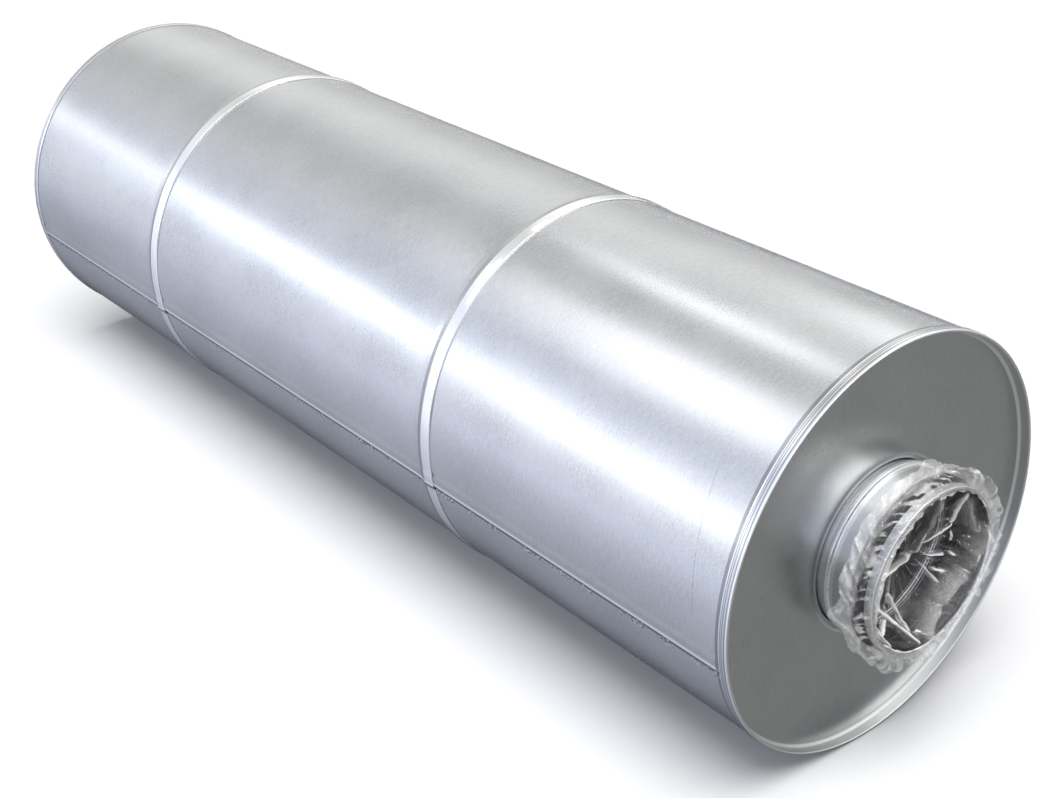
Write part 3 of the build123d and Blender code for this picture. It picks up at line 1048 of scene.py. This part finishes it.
def film_sheet(name):
    """The hood as one sheet: its profile turned about the axis, then crumpled along its normal.

    Rows of points run round the axis. Each point also gets how milky the sheet looks there.
    """
    profile = rounded([(mouth_front + x, r) for x, r in film_profile], film_bend_radius, support=1.0)
    path = np.array([tuple(point) for point in divided(profile, film_row)])
    way = np.gradient(path, axis=0)
    way /= np.linalg.norm(way, axis=1)[:, None]
    lip = int(np.argmax(path[:, 1] > mouth_inside - 0.6))
    along = np.concatenate([[0], np.cumsum(np.linalg.norm(np.diff(path, axis=0), axis=1))])
    turns = np.linspace(0, 2 * math.pi, film_columns, endpoint=False)
    out, turn = np.meshgrid(along, turns, indexing="ij")
    base_x, base_r = (np.repeat(path[:, i:i + 1], film_columns, axis=1) for i in (0, 1))
    inside = np.arange(len(path))[:, None] < lip

    # How loose the sheet is: tight over the lip and at the very middle, free elsewhere.
    lip_run = 3.5
    from_lip = np.abs(out - along[lip] - np.where(inside, 0, lip_run))
    loose = np.clip(from_lip / np.where(inside, 12.0, 3.0), 0, 1) * np.clip(out / 24.0, 0.1, 1)
    skirt = np.clip((mouth_front - 1 - base_x) / 23, 0, 1) * ~inside
    below = ((1 - np.cos(turn - 0.3)) / 2) ** 2

    # Where the skirt stands off the pipe, by degrees round it, and its two small ears.
    degrees = np.degrees(turn)
    puffed = np.interp(degrees, [0, 122, 150, 320, 350, 360], [0, 0, 1, 1, 0.2, 0])
    puffed = puffed * np.interp(skirt, [0, 0.1, 0.35, 1], [0, 1, 1, 0.4])
    ear = np.exp(-((degrees - 104) / 6) ** 2) + 0.7 * np.exp(-((degrees - 347) / 7) ** 2)

    def creased(wide, long, seed):
        """Crumpled fields of the given width round the axis and length along the sheet."""
        around = mouth_inside / wide
        swirl = turn + 0.16 * np.sin(out / 9.0 + seed)
        spots = [out / long, around * np.sin(swirl), around * np.cos(swirl)]
        return sharp_cells(np.stack(spots, axis=-1), seed)

    mean_crease = 0.35
    long_creases = creased(15.0, 34.0, 1) - mean_crease
    short_creases = creased(7.0, 13.0, 2) - mean_crease
    fine_creases = creased(3.4, 5.0, 3) - mean_crease
    pushed_in = 5.5 * long_creases + 2.2 * short_creases
    hanging = 1.4 + 2.6 * long_creases + 3.4 * short_creases
    lift = np.where(inside, pushed_in, hanging)
    height, white = across_mouth(-base_r * np.sin(turn), base_r * np.cos(turn))
    height, white = height * inside, white * inside
    lift = (lift + np.where(inside, 0.8, 1.7) * fine_creases) * loose * (1 - 0.8 * np.clip(2 * white, 0, 1))
    lift += skirt * (1.0 + 5.0 * below) * (0.5 + 0.9 * creased(22.0, 40.0, 4))
    lift += puffed * (6.5 + 5.0 * creased(24.0, 30.0, 8)) + 4.0 * ear * skirt**2
    lift += 1.6 * np.clip(8 * skirt, 0, 1) * (creased(26.0, 4.5, 7) - 0.3)
    lift = np.where(inside, lift, np.maximum(lift, 0))

    # The hem runs in and out along the pipe, and the folds stand towards the open end.
    radius = base_r - lift * way[:, :1]
    ragged = 5.0 * (creased(14.0, 60.0, 5) - 0.2) + 2.0 * short_creases + 1.5 * fine_creases - 8.0 * ear
    share = np.clip(out / along[lip], 0, 1)
    x = base_x + lift * way[:, 1:] + skirt**2 * ragged + height * np.clip((1 - share) * 12, 0, 1)
    film = smooth_piece(name, around_axis(x, radius, turn), quads_between(*turn.shape, closed=False))

    # The folds are white inside. Outside, the skirt is milky with lines, and where the sheet is
    # drawn tight behind the lip only its crossing creases are white.
    crossing = creased(3.8, 14.0, 6)
    behind_lip = out - along[lip]
    bare = np.clip(1 - np.abs(behind_lip - 11.0) / 6.0, 0, 1)
    lines = np.clip((creased(11.0, 3.0, 9) - 0.1) * 2.2, 0.35, 1)
    outside = 0.24 + 0.42 * np.clip((behind_lip - 14) / 4, 0, 1) * lines + 0.1 * puffed * lines
    outside = outside * (1 - np.clip(2.5 * bare, 0, 1)) + np.clip((crossing - 0.31) * 8, 0, 0.95) * bare
    point_values(film.data, "milky", np.where(inside, white, outside).ravel())
    return film


def mark_creases(film):
    """Keeps how sharply the sheet bends at each of its points, from 0 for flat, for its finish."""
    mesh = film.data
    normals = np.empty(3 * len(mesh.vertices), dtype=np.float32)
    mesh.vertex_normals.foreach_get("vector", normals)
    normals = normals.reshape(-1, 3)
    ends = np.empty(2 * len(mesh.edges), dtype=np.int32)
    mesh.edges.foreach_get("vertices", ends)
    first, second = ends.reshape(-1, 2).T
    bend = np.linalg.norm(normals[first] - normals[second], axis=1)
    most = np.zeros(len(mesh.vertices))
    np.maximum.at(most, first, bend)
    np.maximum.at(most, second, bend)
    point_values(mesh, "crease", most)


clear = material("clear_film")
crumbs = clear.noise(420.0, 5.0)
sharp = clear.node("Attribute", {"attribute_name": "crease"}).output("Fac")
milky = clear.node("Attribute", {"attribute_name": "milky"}).output("Fac")
relief = clear.bump(crumbs, 0.3, 0.0004)
white_film = clear.node("BsdfPrincipled", None, {
    "Base Color": rgb(0.92, 0.91, 0.89), "Roughness": 0.12, "Specular IOR Level": 1.0, "Normal": relief})
through = clear.node("BsdfTransparent", None, {"Color": rgb(0.985, 0.988, 0.99)})
sheen = clear.node("BsdfGlossy", None, {"Color": plain_white, "Roughness": 0.07, "Normal": relief})
sheen_share = 0.035
glassy = clear.node("MixShader", None, {0: sheen_share, 1: through, 2: sheen})
haze = 0.015 + clear.band(sharp, 0.35, 1.1) * 0.5 + milky * (0.5 + clear.band(crumbs, 0.4, 0.7) * 0.4)
packing_film = clear.finished(clear.node("MixShader", None, {0: haze, 1: glassy, 2: white_film}))
hood = fitted(film_sheet("film_hood"), packing_film, "front_spigot_film")
mark_creases(hood)

# Three thin lamps light the film alone and make its highlights. The last also brightens its haze.
only_film = bpy.data.collections.new("only_film")
only_film.objects.link(hood)
film_centre = (1.02, 0.0, 0.0)
film_lamp_size = (1.1, 0.035)
film_radiance = 75.0
for name, centre, long_way in (
    ("film_tube_left", (1.5, -1.2, 1.0), (1.0, 0.4, 0.5)),
    ("film_tube_high", (1.4, 0.2, 1.4), (0.3, 1.0, 0.0)),
    ("film_tube_front", (2.3, 0.3, 0.5), (0.0, 0.3, 1.0)),
):
    lamp = softbox(name, centre, film_centre, long_way, film_lamp_size, film_radiance)
    lamp.light_linking.receiver_collection = only_film
lamp.visible_diffuse = True
